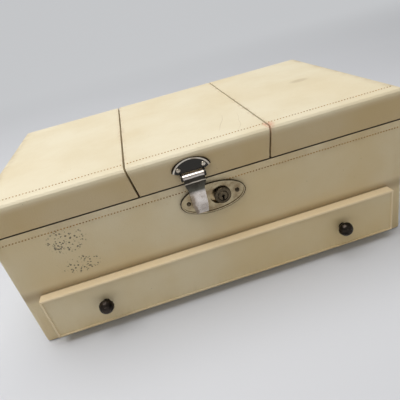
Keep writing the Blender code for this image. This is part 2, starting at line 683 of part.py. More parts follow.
def make_hasp_plate(lid_axis):
    """The arched plate on the lid, with two ears for the hasp's pin, its rivets and the pin."""
    half = HASP_PLATE_HALF_WIDTH
    rise = HASP_PLATE_HEIGHT
    shoulder = rise * 0.22
    outline = [(-half * 0.72, 0), (half * 0.72, 0), (half, shoulder)]
    outline += [(half * math.cos(a), shoulder + (rise - shoulder) * math.sin(a))
                for a in (math.radians(step) for step in range(15, 180, 15))]
    outline += [(-half, shoulder)]
    plate_back = FRONT - SEAT
    place = (HASP_X, 0, HASP_PLATE_LOW)
    plate = extruded("hasp_plate", outline, plate_back - HASP_PLATE, plate_back, NICKEL, place, lid_axis)
    inner = HASP_BARREL_WIDTH / 2 + SEAT
    ear = arc((HASP_PIN_Y, HASP_PIN_Z), HASP_OUTER_RADIUS, 180, 360, 10)
    ear += [(plate_back, HASP_PIN_Z), (plate_back, HASP_PLATE_LOW + HASP_PLATE)]
    ear += [(plate_back - HASP_PLATE, HASP_PLATE_LOW + HASP_PLATE)]
    ear += arc((HASP_PIN_Y, HASP_PIN_Z), HASP_OUTER_RADIUS, 60, 160, 6)
    for hand, sign in HANDS:
        x = sorted((HASP_X + sign * inner, HASP_X + sign * (inner + HASP_EAR)))
        combine(plate, extruded(f"hasp_ear_{hand}", ear, x[0], x[1], None, (0, 0, 0), None, "X"), "UNION")
    bore_half = inner + 2 * HASP_EAR
    bore = turned("hasp_ear_bore", cylinder_profile(HASP_PIN_RADIUS + 0.1 * MM, -bore_half, bore_half), 14,
                  None, (HASP_X, HASP_PIN_Y, HASP_PIN_Z))
    bore.rotation_euler.z = math.pi / 2
    cut(plate, bore)
    rivet_z = HASP_PLATE_LOW + HASP_RIVET_Z
    rivet_holes(plate, HASP_RIVETS, rivet_z, "hasp_plate_rivet_hole")
    names = ("left_hasp_rivet", "right_hasp_rivet")
    make_rivets(names, HASP_RIVETS, rivet_z, plate_back - HASP_PLATE, FRONT + INNER, NICKEL, lid_axis)
    pin_half = inner + HASP_EAR
    pin = turned("hasp_pin", cylinder_profile(HASP_PIN_RADIUS, -pin_half, pin_half), 14, STEEL,
                 (HASP_X, HASP_PIN_Y, HASP_PIN_Z), lid_axis)
    pin.rotation_euler.z = math.pi / 2


def strap_path():
    """The middle of the hasp's sheet, seen from the side: round the pin, down the front, out at the end."""
    middle_radius = HASP_INNER_RADIUS + HASP_SHEET / 2
    path = arc((HASP_PIN_Y, HASP_PIN_Z), middle_radius, -100, 180, 14)
    front = HASP_PIN_Y - middle_radius
    plate_clear = LOCK_FACE - LOCK_RIM - 2 * SEAT - HASP_SHEET / 2
    end = FRONT - HASP_END_PROUD
    steps = 6
    drop = HASP_PIN_Z - HASP_WAIST_Z
    for step in range(1, steps + 1):
        share = step / steps
        ease = share * share * (3 - 2 * share)
        path.append((front + (plate_clear - front) * ease, HASP_PIN_Z - drop * (0.25 + 0.75 * share)))
    for step in range(1, steps + 1):
        share = step / steps
        z = HASP_WAIST_Z + (HASP_END_Z - HASP_WAIST_Z) * share
        path.append((plate_clear + (end - plate_clear) * share * share, z))
    return path


def sheet_outline(path, thickness):
    """A closed outline of even thickness along a path."""
    near = []
    far = []
    for index, (y, z) in enumerate(path):
        before = path[max(index - 1, 0)]
        after = path[min(index + 1, len(path) - 1)]
        run_y = after[0] - before[0]
        run_z = after[1] - before[1]
        run = math.hypot(run_y, run_z)
        offset_y = -run_z / run * thickness / 2
        offset_z = run_y / run * thickness / 2
        near.append((y + offset_y, z + offset_z))
        far.append((y - offset_y, z - offset_z))
    return near + far[::-1]


def make_hasp():
    """The hasp: a sheet rolled round the pin, narrowed to a waist, with a tongue over the lock plate."""
    axis = pivot("hasp_axis", (HASP_X, HASP_PIN_Y, HASP_PIN_Z))
    half = HASP_BARREL_WIDTH / 2
    hasp = extruded("hasp", sheet_outline(strap_path(), HASP_SHEET), HASP_X - half, HASP_X + half, NICKEL,
                    (0, 0, 0), axis, "X")
    waist = HASP_WAIST_WIDTH / 2
    tongue = HASP_TONGUE_WIDTH / 2
    barrel_low = HASP_PIN_Z - 2 * HASP_OUTER_RADIUS
    end = arc((0, HASP_END_Z + tongue * 0.6), tongue, -37, -143, 8)
    right = [(waist, HASP_WAIST_Z), (half + SEAT, barrel_low), (half + SEAT, LID_TOP)]
    left = [(-x, z) for x, z in reversed(right)]
    outline = [(tongue, HASP_END_Z + tongue)] + right + left + [(-tongue, HASP_END_Z + tongue)]
    outline += [(-x, z) for x, z in end]
    shape = extruded("hasp_shape", outline, FRONT - 4 * INNER, FRONT, None, (HASP_X, 0, 0))
    combine(hasp, shape, "INTERSECT")


# The drawer

SPIGOT_PLACES = [(hand, sign * KNOB_SPACING / 2) for hand, sign in HANDS]


def make_drawer():
    """The drawer: wooden front with a leather cover, sides, back, bottom, pad and knobs."""
    axis = pivot("drawer_slide", (0, FRONT, DRAWER_FRONT_LOW))
    half = DRAWER_FRONT_HALF
    z = (DRAWER_FRONT_LOW, OPENING_TOP + DRAWER_TOP_OVERLAP)
    front = FRONT - DRAWER_FRONT_PROUD
    back = FRONT - DRAWER_FRONT_GAP
    cover = block("drawer_front_cover", (-half, half), (front, back), z, CREAM, axis,
                  (("front", "top"), ("front", "bottom"), ("front", "left"), ("front", "right")), LEATHER)
    x = (-half + LEATHER, half - LEATHER)
    room_z = (z[0] + LEATHER, z[1] - LEATHER)
    cut(cover, block("drawer_front_room", x, (front + LEATHER, FRONT + INNER), room_z, None))
    x = (-half + SKIN, half - SKIN)
    board = block("drawer_front", x, (front + SKIN, back), (z[0] + SKIN, z[1] - SKIN), PLY, axis)
    hole = cylinder_profile(KNOB_SPIGOT_RADIUS + KNOB_HOLE_CLEARANCE, front - INNER, FRONT)
    knob_z = z[0] + KNOB_RISE
    for hand, x_place in SPIGOT_PLACES:
        for piece in (cover, board):
            place = (x_place, 0, knob_z)
            cut(piece, turned(f"{piece.name}_{hand}_hole", hole, 12, None, place))

    side_low = DRAWER_OPENING_LOW + SEAT
    box_front = back + SEAT
    box_back = BACK - INNER - DRAWER_BACK_ROOM
    outer = OPENING_HALF - DRAWER_SIDE_CLEARANCE
    inner = outer - DRAWER_BOARD
    for hand, sign in HANDS:
        block(f"{hand}_drawer_side", mirrored(sign, inner, outer), (box_front, box_back),
              (side_low, DRAWER_SIDE_TOP), PLY, axis)
    reach = inner - SEAT
    bottom_z = (side_low + 2 * SEAT, side_low + 2 * SEAT + DRAWER_BOTTOM)
    block("drawer_bottom", (-reach, reach), (box_front, box_back), bottom_z, PLY, axis)
    back_y = (box_back - DRAWER_BOARD, box_back)
    block("drawer_back", (-reach, reach), back_y, (bottom_z[1] + SEAT, DRAWER_BACK_TOP), PLY, axis)
    pad_z = (bottom_z[1] + SEAT, bottom_z[1] + SEAT + DRAWER_PAD)
    block("drawer_pad", (-reach, reach), (box_front, back_y[0] - SEAT), pad_z, VELVET, axis)

    stem = front - SEAT
    head_depth = KNOB_REACH * 0.55
    tip = stem - KNOB_REACH
    for hand, x_place in SPIGOT_PLACES:
        dome = [(KNOB_RADIUS * math.cos(a), tip + head_depth * 0.6 * (1 - math.sin(a)))
                for a in (math.radians(step) for step in (75, 50, 25, 0))]
        profile = [(0, tip)] + dome
        profile += [(KNOB_RADIUS * 0.9, tip + head_depth), (KNOB_STEM_RADIUS * 0.8, tip + head_depth * 1.15)]
        profile += [(KNOB_STEM_RADIUS, stem), (KNOB_SPIGOT_RADIUS, stem)]
        profile += [(KNOB_SPIGOT_RADIUS, back), (0, back)]
        turned(f"{hand}_knob", profile, 16, BRONZE, (x_place, 0, knob_z), axis)
    return outer


def make_drawer_guides(drawer_outer):
    """The runners under the drawer's sides, and the bar that stops its back."""
    runner_z = (FLOOR_TOP + SEAT, DRAWER_OPENING_LOW)
    y = (FRONT + INNER + SEAT, BACK - INNER - SEAT)
    for hand, sign in HANDS:
        x = mirrored(sign, drawer_outer - RUNNER_WIDTH, drawer_outer)
        block(f"{hand}_runner", x, y, runner_z, PLY)
    block("drawer_stop", (-STOP_LENGTH / 2, STOP_LENGTH / 2), (y[0], y[0] + STOP_DEPTH),
          (DRAWER_SIDE_TOP + SEAT, SHELF_LOW - SEAT), PLY)


make_base()
make_walls()
make_case_cover()
make_wells()
make_case_leaves()
centre_axis = make_centre_lid()
make_wings()
make_lock_plate()
make_lock_case()
make_button()
make_hasp_plate(centre_axis)
make_hasp()
make_drawer_guides(make_drawer())
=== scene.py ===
"""Looks of the travel jewelry case: cream leather over wood, tarnished nickel hardware and velvet wells."""

import math
from contextlib import contextmanager

import bmesh
import bpy
from mathutils import Matrix, Vector


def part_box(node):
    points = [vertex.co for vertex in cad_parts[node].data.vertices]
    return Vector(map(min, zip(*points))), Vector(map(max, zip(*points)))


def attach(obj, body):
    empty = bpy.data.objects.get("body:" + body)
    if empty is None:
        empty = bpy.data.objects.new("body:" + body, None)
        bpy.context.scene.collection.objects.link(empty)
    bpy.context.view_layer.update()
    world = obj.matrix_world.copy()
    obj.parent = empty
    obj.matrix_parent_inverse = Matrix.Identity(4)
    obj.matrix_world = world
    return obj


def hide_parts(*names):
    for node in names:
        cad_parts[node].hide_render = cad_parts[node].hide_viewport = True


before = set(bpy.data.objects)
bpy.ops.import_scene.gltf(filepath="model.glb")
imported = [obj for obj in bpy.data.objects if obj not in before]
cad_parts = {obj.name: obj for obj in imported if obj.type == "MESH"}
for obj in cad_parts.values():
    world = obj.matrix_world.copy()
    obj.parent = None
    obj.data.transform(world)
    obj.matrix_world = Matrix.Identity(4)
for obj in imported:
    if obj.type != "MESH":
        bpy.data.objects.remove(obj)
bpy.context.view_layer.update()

bl_info = {
    "name": "Travel Jewelry Case",
    "version": (1, 0, 0),
    "blender": (4, 5, 0),
    "location": "3D View > Sidebar > Jewelry Case",
    "description": "Models the leather, hardware and lining of a travel jewelry case round its construction model",
    "category": "Add Mesh",
}

MM = 0.001
CASE_LOW, CASE_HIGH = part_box("case_cover")
LID_LOW, LID_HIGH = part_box("centre_lid_cover")
FRONT = CASE_LOW.y
BACK = CASE_HIGH.y
RIM = CASE_HIGH.z
LID_TOP = LID_HIGH.z


# Modelling helpers

@contextmanager
def editing(piece):
    """Edit mode on one piece, with nothing selected at first."""
    select_only(piece)
    bpy.ops.object.mode_set(mode="EDIT")
    bpy.ops.mesh.select_all(action="DESELECT")
    yield
    bpy.ops.object.mode_set(mode="OBJECT")


def select_only(piece):
    """Makes a piece the active object and the only one selected."""
    bpy.ops.object.select_all(action="DESELECT")
    piece.select_set(True)
    bpy.context.view_layer.objects.active = piece


def pick_vertices(test):
    """Selects the vertices whose place passes the test, and nothing else."""
    bpy.ops.mesh.select_mode(type="VERT")
    bpy.ops.mesh.select_all(action="DESELECT")
    mesh = bmesh.from_edit_mesh(bpy.context.object.data)
    for vertex in mesh.verts:
        if test(vertex.co):
            vertex.select_set(True)
    mesh.select_flush_mode()
    bmesh.update_edit_mesh(bpy.context.object.data)


def pick_edges(test):
    """Selects the edges whose two ends pass the test, and nothing else."""
    bpy.ops.mesh.select_mode(type="EDGE")
    bpy.ops.mesh.select_all(action="DESELECT")
    mesh = bmesh.from_edit_mesh(bpy.context.object.data)
    for edge in mesh.edges:
        if test(edge.verts[0].co, edge.verts[1].co):
            edge.select_set(True)
    mesh.select_flush_mode()
    bmesh.update_edit_mesh(bpy.context.object.data)


def pick_faces(test):
    """Selects the faces whose middle and normal pass the test, and nothing else."""
    bpy.ops.mesh.select_mode(type="FACE")
    bpy.ops.mesh.select_all(action="DESELECT")
    mesh = bmesh.from_edit_mesh(bpy.context.object.data)
    mesh.normal_update()
    for face in mesh.faces:
        if test(face.calc_center_median(), face.normal):
            face.select_set(True)
    mesh.select_flush_mode()
    bmesh.update_edit_mesh(bpy.context.object.data)


def near(value, goal, slack=0.02 * MM):
    """True where two lengths agree."""
    return abs(value - goal) < slack


def named(name):
    """Names the object that an operator has just added and applies its place."""
    piece = bpy.context.object
    piece.name = name
    piece.data.name = name
    bpy.ops.object.transform_apply(location=True, rotation=True, scale=True)
    return piece


def cuboid(name, low, high):
    """A box between two corners, as a start."""
    bpy.ops.object.select_all(action="DESELECT")
    middle = (Vector(low) + Vector(high)) / 2
    bpy.ops.mesh.primitive_cube_add(size=1, location=middle, scale=Vector(high) - Vector(low))
    return named(name)


def add_modifier(piece, kind, **settings):
    """Adds a modifier with its settings and applies it."""
    modifier = piece.modifiers.new(kind.title(), kind)
    for setting, value in settings.items():
        setattr(modifier, setting, value)
    select_only(piece)
    bpy.ops.object.modifier_apply(modifier=modifier.name)


def thread_of_points(name, points):
    """A chain of edges through points, drawn by extruding one vertex."""
    bpy.ops.object.select_all(action="DESELECT")
    bpy.ops.mesh.primitive_plane_add(size=1 * MM, location=points[0])
    piece = named(name)
    with editing(piece):
        bpy.ops.mesh.select_mode(type="VERT")
        bpy.ops.mesh.select_all(action="SELECT")
        bpy.ops.mesh.merge(type="CENTER")
        for before, after in zip(points, points[1:]):
            step = Vector(after) - Vector(before)
            bpy.ops.mesh.extrude_region_move(TRANSFORM_OT_translate={"value": step})
    return piece


def turned(name, profile, centre, steps=40):
    """A piece spun about the line along Y through a centre, from (radius, y) points."""
    points = [(centre[0] + radius, centre[1] + along, centre[2]) for radius, along in profile]
    piece = thread_of_points(name, points)
    with editing(piece):
        bpy.ops.mesh.select_mode(type="VERT")
        bpy.ops.mesh.select_all(action="SELECT")
        bpy.ops.mesh.spin(steps=steps, angle=math.tau, center=centre, axis=(0, 1, 0))
        bpy.ops.mesh.select_all(action="SELECT")
        bpy.ops.mesh.remove_doubles(threshold=0.004 * MM)
        bpy.ops.mesh.normals_make_consistent(inside=False)
    return piece


def settle(piece, body, look, slot, *nodes, angle=35):
    """Shades, finishes and places a piece on its body, and hides the nodes it stands for."""
    select_only(piece)
    bpy.ops.object.shade_smooth_by_angle(angle=math.radians(angle))
    piece.data.materials.clear()
    piece.data.materials.append(look)
    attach(piece, body)
    if nodes:
        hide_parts(*nodes)
    return piece


def dress(look, *nodes):
    """Gives construction nodes that stay in sight their finish."""
    for node in nodes:
        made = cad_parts[node]
        made.data.materials.clear()
        made.data.materials.append(look)


# Shader helpers

class Term:
    """A shader value that takes part in Python arithmetic."""

    def __init__(self, finish, socket):
        self.finish = finish
        self.socket = socket

    def maths(self, operation, *others):
        """Adds a Math node with this value and others."""
        values = {index: value for index, value in enumerate((self, *others))}
        return self.finish.node("ShaderNodeMath", {"operation": operation}, values)

    def __add__(self, other):
        return self.maths("ADD", other)

    __radd__ = __add__

    def __sub__(self, other):
        return self.maths("SUBTRACT", other)

    def __rsub__(self, other):
        return (self * -1) + other

    def __mul__(self, other):
        return self.maths("MULTIPLY", other)

    __rmul__ = __mul__

    def __truediv__(self, other):
        return self.maths("DIVIDE", other)

    def __pow__(self, other):
        return self.maths("POWER", other)

    def over(self, low, high):
        """0 below low, 1 above high, with a smooth rise between them."""
        values = {"Value": self, "From Min": low, "From Max": high, "To Min": 0.0, "To Max": 1.0}
        return self.finish.node("ShaderNodeMapRange", {"interpolation_type": "SMOOTHSTEP"}, values)


class Finish:
    """A material built round one Principled shader."""

    def __init__(self, name, roughness=0.5, metallic=0.0, **fixed):
        self.material = bpy.data.materials.new(name)
        self.material.use_nodes = True
        self.tree = self.material.node_tree
        self.shader = self.tree.nodes["Principled BSDF"]
        self.shader.inputs["Roughness"].default_value = roughness
        self.shader.inputs["Metallic"].default_value = metallic
        for socket, value in fixed.items():
            self.shader.inputs[socket.replace("_", " ")].default_value = value

    def node(self, kind, settings=None, values=None, output=0):
        """Adds a node, its settings first and then its sockets' values or links."""
        made = self.tree.nodes.new(kind)
        for setting, value in (settings or {}).items():
            if setting == "stops":
                ramp = made.color_ramp
                while len(ramp.elements) < len(value):
                    ramp.elements.new(0.5)
                for element, (position, colour) in zip(ramp.elements, value):
                    element.position = position
                    element.color = (*colour, 1.0)
            else:
                setattr(made, setting, value)
        for socket, value in (values or {}).items():
            if isinstance(value, Term):
                self.tree.links.new(value.socket, made.inputs[socket])
            else:
                made.inputs[socket].default_value = value
        return Term(self, made.outputs[output])

    def place(self):
        """Object coordinates."""
        return self.node("ShaderNodeTexCoord", output="Object")

    def part(self, vector, axis):
        """One component of a vector."""
        return self.node("ShaderNodeSeparateXYZ", None, {0: vector}, axis)

    def noise(self, vector, scale, detail=3.0, roughness=0.55, distortion=0.0):
        """A noise value from 0 to 1 with cells of 1 / scale metres."""
        values = {"Vector": vector, "Scale": scale, "Detail": detail, "Roughness": roughness,
                  "Distortion": distortion}
        return self.node("ShaderNodeTexNoise", None, values, "Fac")

    def cells(self, vector, scale, feature="F1"):
        """A cell pattern's distance."""
        settings = {"feature": feature}
        return self.node("ShaderNodeTexVoronoi", settings, {"Vector": vector, "Scale": scale}, "Distance")

    def stretched(self, vector, scale, turn=(0, 0, 0), move=(0, 0, 0)):
        """A vector turned, scaled and moved."""
        values = {"Vector": vector, "Scale": scale, "Rotation": turn, "Location": move}
        return self.node("ShaderNodeMapping", {"vector_type": "POINT"}, values)

    def mix(self, share, first, second):
        """A colour between two colours."""
        settings = {"data_type": "RGBA", "blend_type": "MIX"}
        first = first if isinstance(first, Term) else (*first, 1.0)
        second = second if isinstance(second, Term) else (*second, 1.0)
        return self.node("ShaderNodeMix", settings, {"Factor": share, "A": first, "B": second}, "Result")

    def blotch(self, vector, centre, size):
        """1 at a place, falling smoothly to 0 at its size along each axis."""
        away = self.node("ShaderNodeVectorMath", {"operation": "SUBTRACT"}, {0: vector, 1: centre})
        scaled = self.node("ShaderNodeVectorMath", {"operation": "DIVIDE"}, {0: away, 1: size})
        distance = self.node("ShaderNodeVectorMath", {"operation": "LENGTH"}, {0: scaled}, "Value")
        return 1 - distance.over(0.35, 1.0)

    def give(self, socket, value):
        """Links a value to the shader."""
        self.tree.links.new(value.socket, self.shader.inputs[socket])

    def bump(self, height, strength, distance):
        """Feeds the shader's normal from a height."""
        values = {"Height": height, "Strength": strength, "Distance": distance}
        self.give("Normal", self.node("ShaderNodeBump", None, values, "Normal"))


# Finishes

def leather(name, colours, lining=False):
    """Yellowed cream leather: fine grain, soft mottling, darker edges, specks and hairline scratches, with painted
    shade on the front, in the gap under the lid and above the drawer, and a painted highlight on the drawer front's
    folds.
    """
    finish = Finish(name, roughness=0.5)
    place = finish.place()
    x, y, z = (finish.part(place, axis) for axis in range(3))
    tone = finish.noise(place, 22, 4, 0.55)
    cloud = finish.noise(place, 7, 2, 0.5)
    colour = finish.mix(tone.over(0.3, 0.72), colours.cream, colours.cream_warm)
    colour = finish.mix(cloud.over(0.42, 0.75) * 0.28, colour, colours.yellowed_tone_and_shade)
    fleck = finish.noise(place, 420, 3, 0.6)
    colour = finish.mix(fleck.over(0.6, 0.75) * 0.22, colour, colours.yellowed_tone_and_shade)
    if not lining:
        # darker towards the bottom of the case and in a band just below the lid, broken up by noise; the corners at the
        # ends of the case darken with wear
        foot = (1 - z.over(0.001, 0.022)) * 0.55
        skirt = z.over(0.088, 0.1) * (1 - z.over(0.1015, 0.1035)) * 0.4
        grime_and_shade = finish.noise(finish.stretched(place, (1.0, 1.0, 0.35)), 45, 4, 0.65).over(0.35, 0.7)
        colour = finish.mix((foot + skirt) * grime_and_shade, colour, colours.grime_and_shade)
        away = x.maths("ABSOLUTE")
        corner = away.over(0.149, 0.158) * (1 - away.over(0.1586, 0.1594)) * grime_and_shade * 0.5
        colour = finish.mix(corner, colour, colours.grime_and_shade)
        # painted shade and yellowing: the front is painted darker and yellower than the top, partly yellowed leather
        # and partly painted shade, most of all low down; the lid's front face gets more painted shade
        front = (y * -1).over(0.0905, 0.0965) * (1 - z.over(0.118, 0.126))
        age_and_shade = 0.3 + finish.noise(place, 12, 3, 0.6).over(0.35, 0.7) * 0.35 + (1 - z.over(0.0, 0.05)) * 0.2
        age_and_shade = age_and_shade + z.over(0.1022, 0.1028) * 0.3
        colour = finish.mix(front * age_and_shade, colour, colours.yellowed_tone_and_shade)
        colour = finish.mix(front * z.over(0.1022, 0.1028) * 0.3, colour, colours.grime_and_shade)
        # painted highlight: the top strip and the end ridges of the drawer front are painted pale
        ledge = (y * -1).over(0.0980, 0.0984)
        top_fold = z.over(0.0445, 0.0462)
        end_fold = x.maths("ABSOLUTE").over(0.1436, 0.1442)
        colour = finish.mix(ledge * (top_fold + end_fold * 0.7).maths("MINIMUM", 1.0) * 0.75, colour, colours.folded)
        # painted shade: the case front just above the drawer, behind the drawer's proud front, is painted darker
        shade_above_drawer = (1 - ledge) * front * z.over(0.040, 0.047) * (1 - z.over(0.0475, 0.0545))
        colour = finish.mix(shade_above_drawer * 0.6, colour, colours.grime_and_shade)
        # painted shade: the narrow gap under the lid is painted near black
        gap = z.over(0.1016, 0.10195) * (1 - z.over(0.10285, 0.1031))
        colour = finish.mix(gap * 0.85, colour, colours.speck)
        # worn rims of the seams
        rub = finish.noise(place, 160, 4, 0.7).over(0.45, 0.62)
        seam = (1 - (x.maths("ABSOLUTE") - 0.0535 - (z - 0.1262) * 0.15).maths("ABSOLUTE").over(0.0008, 0.0045))
        colour = finish.mix(seam * z.over(0.102, 0.104) * rub * 0.3, colour, colours.rubbed)
        # pinkish rub at the front of the right-hand seam
        sore = finish.blotch(place, (0.0545, -0.0905, 0.1245), (0.0058, 0.0075, 0.009))
        colour = finish.mix(sore * finish.noise(place, 700, 3, 0.7).over(0.38, 0.56) * 0.8, colour, colours.sore)
        # black specks of old finish on the left of the front
        cluster = (finish.blotch(place, (-0.110, -0.0975, 0.0865), (0.02, 0.02, 0.015))
                   + finish.blotch(place, (-0.107, -0.0975, 0.0635), (0.022, 0.02, 0.0105)) * 0.9
                   + finish.blotch(place, (-0.146, -0.0975, 0.030), (0.012, 0.02, 0.028)) * 0.35)
        dot = 1 - finish.cells(place, 560).over(0.33, 0.47)
        chance = finish.noise(place, 260, 3, 0.65).over(0.47, 0.54)
        colour = finish.mix(dot * chance * cluster.over(0.25, 0.7) * 0.8, colour, colours.speck)
        stray = (1 - finish.cells(place, 190).over(0.035, 0.05)) * finish.noise(place, 60, 2, 0.6).over(0.52, 0.6)
        colour = finish.mix(stray * 0.7, colour, colours.speck)
        # hairline scratches on the lid and a soft smudge to the right
        drift = finish.noise(finish.stretched(place, (1, 1, 1), (0, 0, 0.5)), 30, 1, 0.4)
        line = ((x * 0.93 - y * 0.36 + drift * 0.03) * 62).maths("FRACT") - 0.5
        hair = 1 - line.maths("ABSOLUTE").over(0.006, 0.014)
        scuffed = finish.blotch(place, (0.034, -0.063, 0.1262), (0.02, 0.03, 0.006))
        colour = finish.mix(hair * scuffed * 0.4, colour, colours.grime_and_shade)
        smudge = finish.blotch(place, (0.120, -0.002, 0.1262), (0.012, 0.007, 0.005))
        colour = finish.mix(smudge * 0.3, colour, colours.grime_and_shade)
    finish.give("Base Color", colour)
    grain = finish.cells(finish.stretched(place, (1, 1, 1)), 1050, "SMOOTH_F1")
    pores = finish.noise(place, 2400, 2, 0.6)
    swell = finish.noise(place, 60, 2, 0.5)
    finish.give("Roughness", 0.44 + tone * 0.16 + fleck * 0.08)
    finish.bump(grain * 0.55 + pores * 0.25 + swell * 1.6, 0.4, 0.00025)
    return finish.material


def metal(name, bright, dull, roughness, stain=None, reflection_field=None, oval=None, bands=None, dents=0.00008):
    """Old plated metal: clouded polish, tarnished patches, fine scratches, and optionally a painted dark reflection
    inside a raised rim, a darkened outer edge round that rim, and painted reflection bands up its height.
    """
    finish = Finish(name, roughness=roughness, metallic=1.0)
    place = finish.place()
    cloud = finish.noise(place, 170, 4, 0.6)
    fine = finish.noise(place, 420, 3, 0.65)
    colour = finish.mix(cloud.over(0.35, 0.7), bright, dull)
    if stain is not None:
        colour = finish.mix(fine.over(0.55, 0.72) * 0.6, colour, stain)
    if oval is not None:
        centre_x, centre_z, half_width, half_height = oval
        across = (finish.part(place, 0) - centre_x * MM) / (half_width * MM)
        up = (finish.part(place, 2) - centre_z * MM) / (half_height * MM)
        reach = across * across + up * up
        # painted reflection: inside the rim the metal is painted dark
        if reflection_field is not None:
            colour = finish.mix(reach.over(0.76, 0.80), reflection_field, colour)
        colour = finish.mix(reach.over(0.925, 0.965), colour, (0.03, 0.022, 0.015))
    if bands is not None:
        # painted reflections: bright and dark bands up the hasp's height, with a thin bright line, multiplied into its
        # colour
        level = (finish.part(place, 2) - 0.078) / 0.033
        ragged = level + (cloud - 0.5) * 0.035
        reflection_bands = finish.node("ShaderNodeValToRGB", {"stops": bands}, {"Fac": ragged}, "Color")
        # the left of the tongue is painted darker and browner: partly browned plating, partly painted shade
        left = 1 - (finish.part(place, 0) + (cloud - 0.5) * 0.006).over(-0.0132, -0.0108)
        colour = finish.mix(left * (1 - level.over(0.4, 0.6)) * 0.85, colour, (0.30, 0.235, 0.16))
        settings = {"data_type": "RGBA", "blend_type": "MULTIPLY"}
        colour = finish.node("ShaderNodeMix", settings, {"Factor": 1.0, "A": colour, "B": reflection_bands}, "Result")
    finish.give("Base Color", colour)
    brushed = finish.noise(finish.stretched(place, (0.15, 1, 1), (0.3, 0.2, 0.1)), 2600, 2, 0.5)
    finish.give("Roughness", roughness * 0.7 + cloud * roughness * 0.4 + brushed * 0.1)
    finish.bump(cloud * 0.8 + brushed * 0.2 + fine * 0.3, 0.3, dents)
    return finish.material


def cloth_pile(name, deep, light, direction=(1, 1, 1)):
    """Short velvet pile that lies unevenly."""
    finish = Finish(name, roughness=0.9, Sheen_Weight=0.35, Sheen_Roughness=0.4)
    place = finish.place()
    lay = finish.noise(place, 38, 4, 0.6)
    pile = finish.noise(finish.stretched(place, direction), 3200, 2, 0.6)
    colour = finish.mix(lay.over(0.3, 0.75) * 0.7 + pile * 0.3, deep, light)
    finish.give("Base Color", colour)
    finish.bump(pile * 0.7 + lay * 0.8, 0.5, 0.00035)
    return finish.material


def felt_cloth(name, deep, light):
    """Matted felt with loose fibres."""
    finish = Finish(name, roughness=0.95)
    place = finish.place()
    matted = finish.noise(place, 900, 4, 0.7, 1.5)
    patch = finish.noise(place, 30, 3, 0.5)
    finish.give("Base Color", finish.mix(matted * 0.7 + patch * 0.3, deep, light))
    finish.bump(matted, 0.6, 0.0003)
    return finish.material


def wood(name, pale, dark, along="X"):
    """Plain plywood with long grain."""
    finish = Finish(name, roughness=0.6)
    place = finish.place()
    scale = {"X": (0.12, 1, 1), "Y": (1, 0.12, 1), "Z": (1, 1, 0.12)}[along]
    fibre = finish.noise(finish.stretched(place, scale), 420, 4, 0.65, 0.6)
    board = finish.noise(finish.stretched(place, scale), 60, 3, 0.5, 1.2)
    finish.give("Base Color", finish.mix(fibre.over(0.35, 0.7) * 0.6 + board * 0.4, pale, dark))
    finish.give("Roughness", 0.5 + fibre * 0.25)
    finish.bump(fibre, 0.4, 0.0002)
    return finish.material


def silvering(name, tint):
    """Mirror glass whose silvering has clouded a little."""
    finish = Finish(name, roughness=0.03, metallic=1.0)
    place = finish.place()
    haze = finish.noise(place, 26, 4, 0.6).over(0.55, 0.8)
    speck = (1 - finish.cells(place, 300).over(0.03, 0.06)) * finish.noise(place, 50, 2, 0.6).over(0.55, 0.65)
    finish.give("Base Color", finish.mix(speck * 0.8 + haze * 0.08, tint, (0.2, 0.19, 0.17)))
    finish.give("Roughness", 0.02 + haze * 0.06 + speck * 0.3)
    return finish.material


def thread(name, pale, brown):
    """Waxed sewing thread with a twist."""
    finish = Finish(name, roughness=0.6)
    place = finish.place()
    dye = finish.noise(place, 130, 3, 0.6)
    ply = finish.noise(finish.stretched(place, (1, 2, 2), (0, 0.6, 0)), 2600, 2, 0.5)
    finish.give("Base Color", finish.mix(dye.over(0.35, 0.7) * 0.75 + ply * 0.25, pale, brown))
    finish.bump(ply, 0.5, 0.0001)
    return finish.material


LOOKS = {}


def look(name):
    """A finish that an earlier operator made."""
    if name not in LOOKS:
        raise RuntimeError("The finishes come before " + name)
    return LOOKS[name]


def colour_setting(name, description, default):
    """A colour property in linear values."""
    return bpy.props.FloatVectorProperty(name=name, description=description, default=default, size=3,
                                         subtype="COLOR", min=0.0, max=1.0)


def length_setting(name, description, default):
    """A length property in metres."""
    return bpy.props.FloatProperty(name=name, description=description, default=default, min=0.0,
                                   unit="LENGTH", precision=5)


